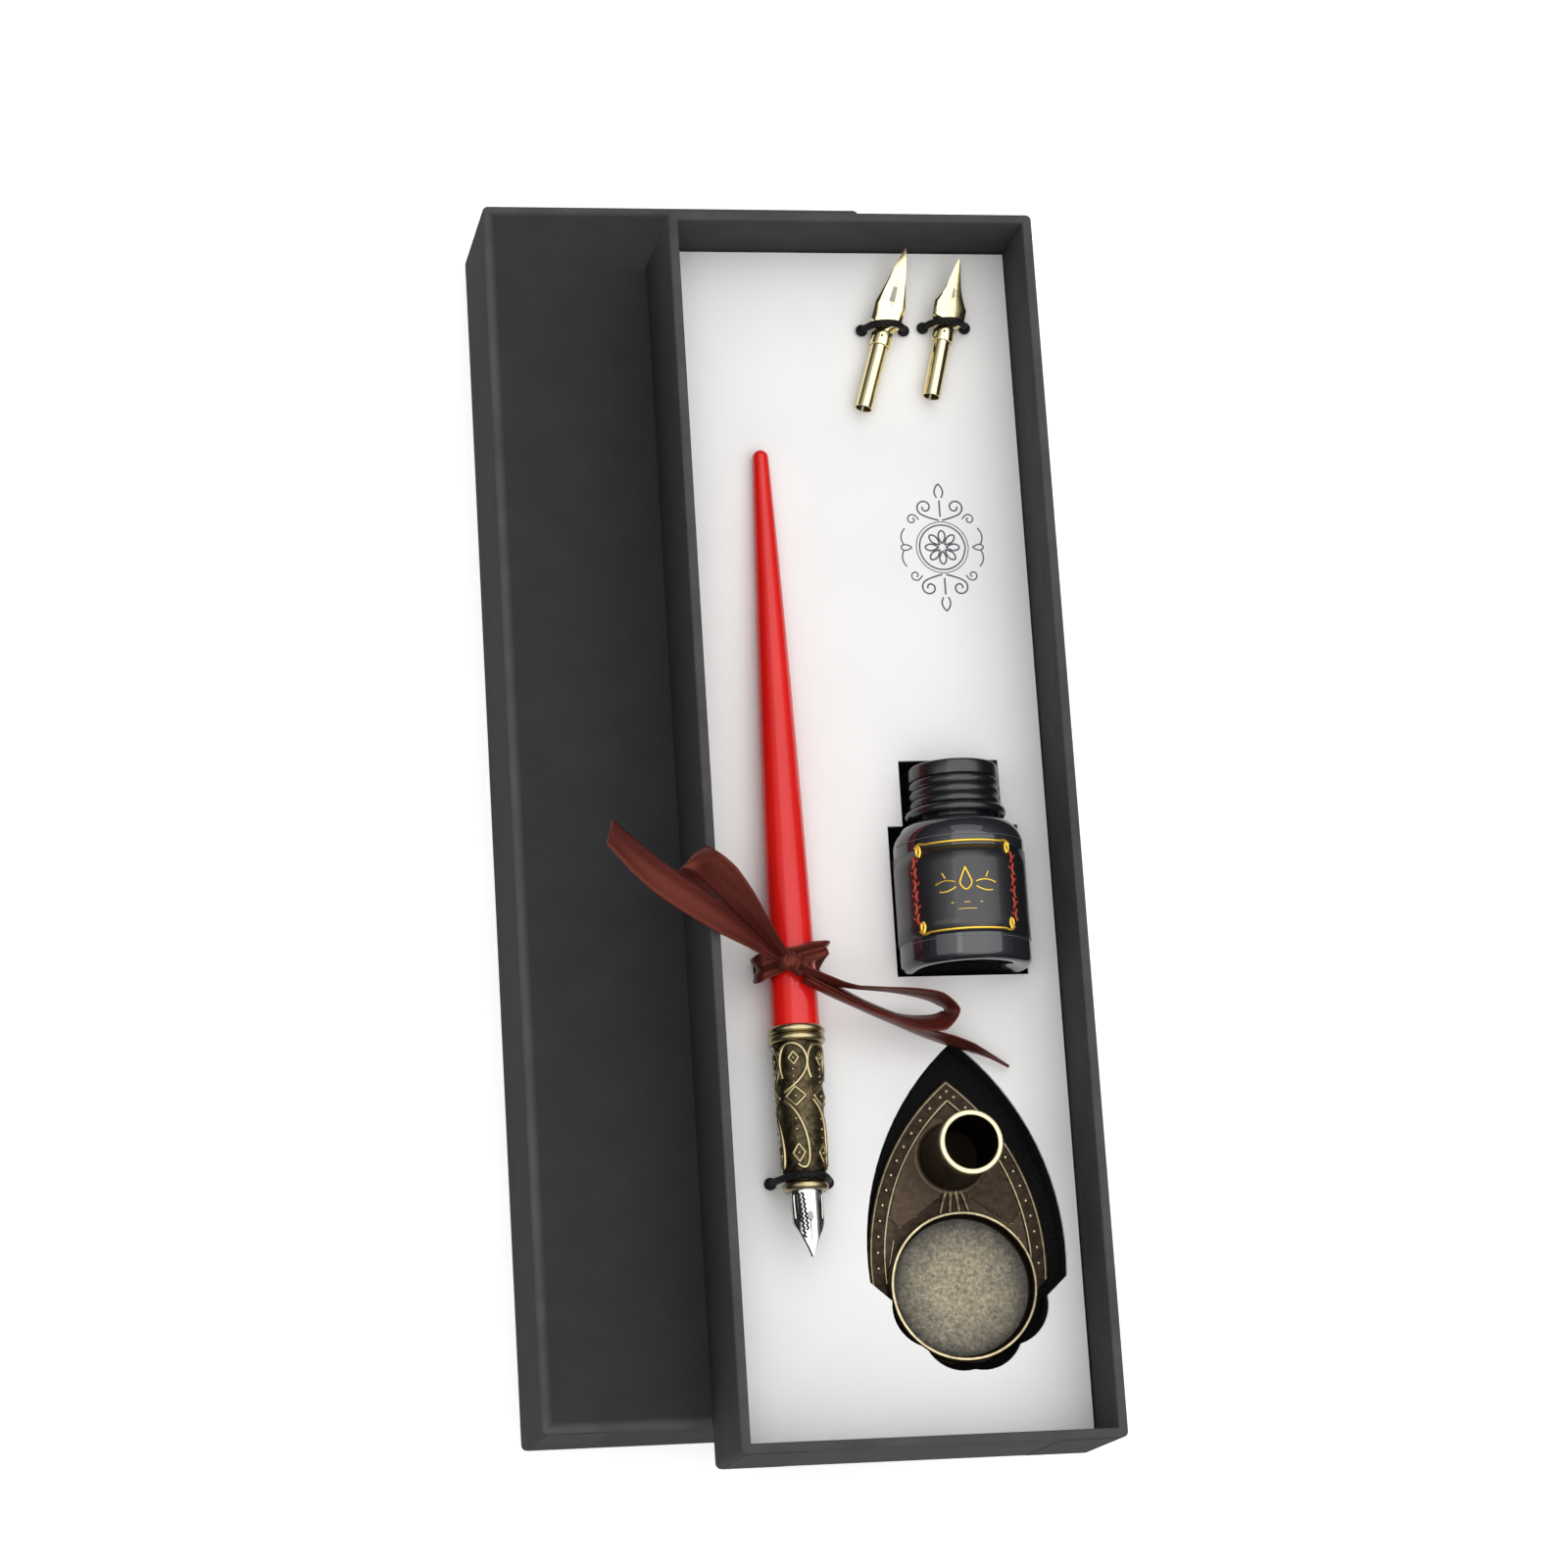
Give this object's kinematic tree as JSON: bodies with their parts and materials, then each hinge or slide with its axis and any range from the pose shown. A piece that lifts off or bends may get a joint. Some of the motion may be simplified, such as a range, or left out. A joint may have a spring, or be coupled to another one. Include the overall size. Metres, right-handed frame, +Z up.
{
  "type": "dip pen and ink gift set",
  "caption": "Boxed dip pen set: lidded tray, card insert, pen with nib, spare nibs, ink bottle and cast pen stand.",
  "frame": {"origin": "on the table, under the middle of the box of the lid and the tray lying on it", "axes": "+Z up out of the open tray, +Y along the tray towards the handle's end of the pen, +X to the tray's right"},
  "size_m": [0.117, 0.2816, 0.0731],
  "materials": {
    "box_paper": "matte charcoal wrapping paper",
    "greyboard": "raw greyboard",
    "card_white": "smooth matt white card",
    "foam_black": "fine black foam",
    "elastic_black": "covered elastic cord",
    "lacquer_red": "gloss red lacquer on wood",
    "antique_brass": "antiqued cast brass",
    "sleeve_steel": "plain spring steel",
    "nib_steel": "polished nib steel",
    "nib_gilt": "gilt nib",
    "satin_burgundy": "satin ribbon",
    "bottle_glass": "clear glass, dark with ink",
    "ink": "black ink",
    "label_paper": "black coated label",
    "cap_black": "moulded phenolic cap",
    "liner_paper": "pulp cap liner",
    "stand_brass": "antiqued cast brass"
  },
  "bodies": {
    "lid": {"lid_board": "greyboard", "lid_wrap": "box_paper"},
    "tray": {"tray_board": "greyboard", "tray_wrap": "box_paper"},
    "insert": {"insert_card": "card_white", "insert_foam": "foam_black", "pen_elastic": "elastic_black", "nib_elastic_left": "elastic_black", "nib_elastic_right": "elastic_black", "ribbon_wrap": "satin_burgundy", "ribbon_knot": "satin_burgundy", "ribbon_loop_left": "satin_burgundy", "ribbon_loop_right": "satin_burgundy", "ribbon_tail_left": "satin_burgundy", "ribbon_tail_right": "satin_burgundy"},
    "pen": {"pen_handle": "lacquer_red", "pen_grip": "antique_brass", "nib_sleeve": "sleeve_steel"},
    "nib": {"pen_nib": "nib_steel"},
    "left_spare_nib": {"spare_nib_left": "nib_gilt"},
    "right_spare_nib": {"spare_nib_right": "nib_gilt"},
    "bottle": {"bottle_glass": "bottle_glass", "bottle_ink": "ink", "bottle_label": "label_paper"},
    "liner": {"cap_liner": "liner_paper"},
    "cap": {"bottle_cap": "cap_black"},
    "stand": {"stand_plate": "stand_brass", "stand_tube": "stand_brass", "stand_dish": "stand_brass"}
  },
  "joints": [
    {"name": "tray_lift", "type": "slide", "parent": "lid", "child": "tray", "axis": [0, 0, 1], "range_m": [0, 0.04]},
    {"name": "insert_lift", "type": "slide", "parent": "tray", "child": "insert", "axis": [0, 0, 1], "range_m": [0, 0.03]},
    {"name": "pen_slide", "type": "slide", "parent": "insert", "child": "pen", "axis": [-0.0087, -0.9994, 0.0341], "range_m": [0, 0.026], "deforming": ["pen_elastic"]},
    {"name": "nib_pull", "type": "slide", "parent": "pen", "child": "nib", "axis": [-0.0087, -0.9994, 0.0341], "range_m": [0, 0.01]},
    {"name": "left_nib_slide", "type": "slide", "parent": "insert", "child": "left_spare_nib", "axis": [-0.3007, -0.9537, 0], "range_m": [0, 0.022]},
    {"name": "right_nib_slide", "type": "slide", "parent": "insert", "child": "right_spare_nib", "axis": [-0.2521, -0.9677, 0], "range_m": [0, 0.022]},
    {"name": "bottle_lift", "type": "slide", "parent": "insert", "child": "bottle", "axis": [0, 0, 1], "range_m": [0, 0.035]},
    {"name": "cap_rise", "type": "slide", "parent": "bottle", "child": "liner", "axis": [0, 1, 0], "range_m": [0, 0.0021]},
    {"name": "cap_turn", "type": "hinge", "parent": "liner", "child": "cap", "pos_m": [0.0352, 0.00525, 0.05065], "axis": [0, 1, 0], "range_deg": [0, 360]},
    {"name": "stand_lift", "type": "slide", "parent": "insert", "child": "stand", "axis": [0, 0, 1], "range_m": [0, 0.035]}
  ],
  "couplings": [
    {"joint": "cap_rise", "follows": "cap_turn", "m_per_rad": 0.00033423}
  ]
}
